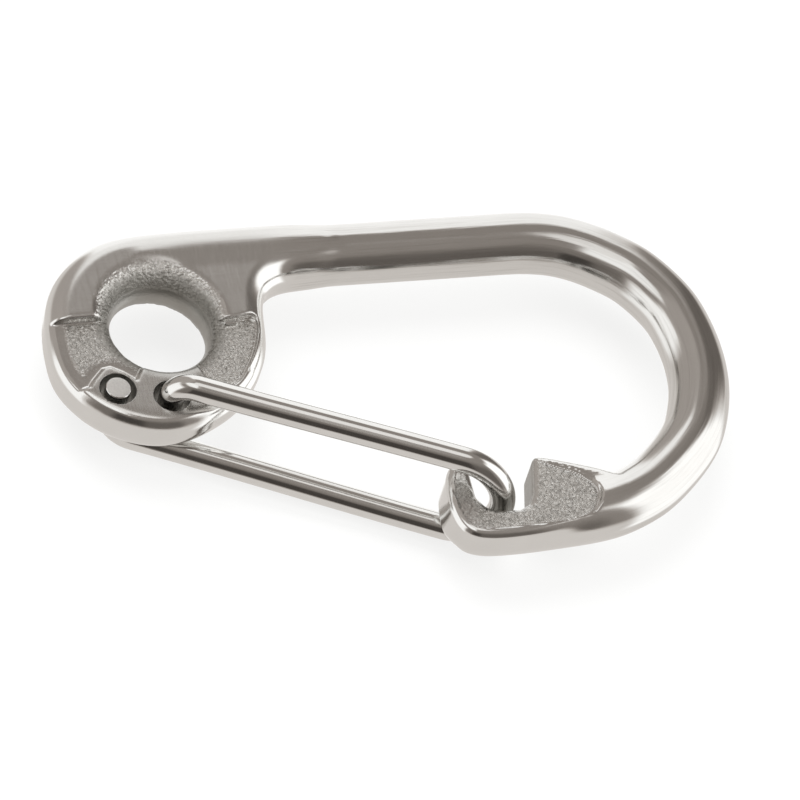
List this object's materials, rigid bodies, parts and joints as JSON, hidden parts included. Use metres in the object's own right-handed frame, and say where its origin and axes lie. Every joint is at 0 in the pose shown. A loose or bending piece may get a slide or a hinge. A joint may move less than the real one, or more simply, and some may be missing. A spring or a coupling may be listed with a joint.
{
  "type": "wire-gate snap hook",
  "caption": "Cast stainless snap hook with a captive eye, an open bow and a sprung wire gate that folds inwards from two offset holes.",
  "frame": {"origin": "centre of the overall bounding box, on the hook's mid-plane; the centre of the captive eye is at x -25.98 mm, y +9.52 mm", "axes": "+X along the straight spine towards the crown, +Y from the gate side towards the spine, +Z out of the front face, the face the front gate leg lies on"},
  "size_m": [0.0788, 0.0458, 0.0136],
  "materials": {
    "cast_stainless": "polished, as cast in the recesses",
    "wire_stainless": "bright drawn spring wire"
  },
  "bodies": {
    "hook": {"hook_body": "cast_stainless"},
    "gate_front": {"gate_wire_front": "wire_stainless"},
    "gate_back": {"gate_wire_back": "wire_stainless"}
  },
  "joints": [
    {"name": "gate_open", "type": "hinge", "parent": "hook", "child": "gate_front", "pos_m": [-0.02703, -0.00038, 0], "axis": [0, 0, 1], "range_deg": [0, 40], "stiffness_Nm_per_rad": 0.1},
    {"name": "gate_twist", "type": "hinge", "parent": "gate_front", "child": "gate_back", "pos_m": [0.00863, -0.01667, 0], "axis": [0, 0, 1], "range_deg": [-5.5, 0]}
  ],
  "couplings": [
    {"joint": "gate_twist", "follows": "gate_open", "ratio": -0.134}
  ]
}
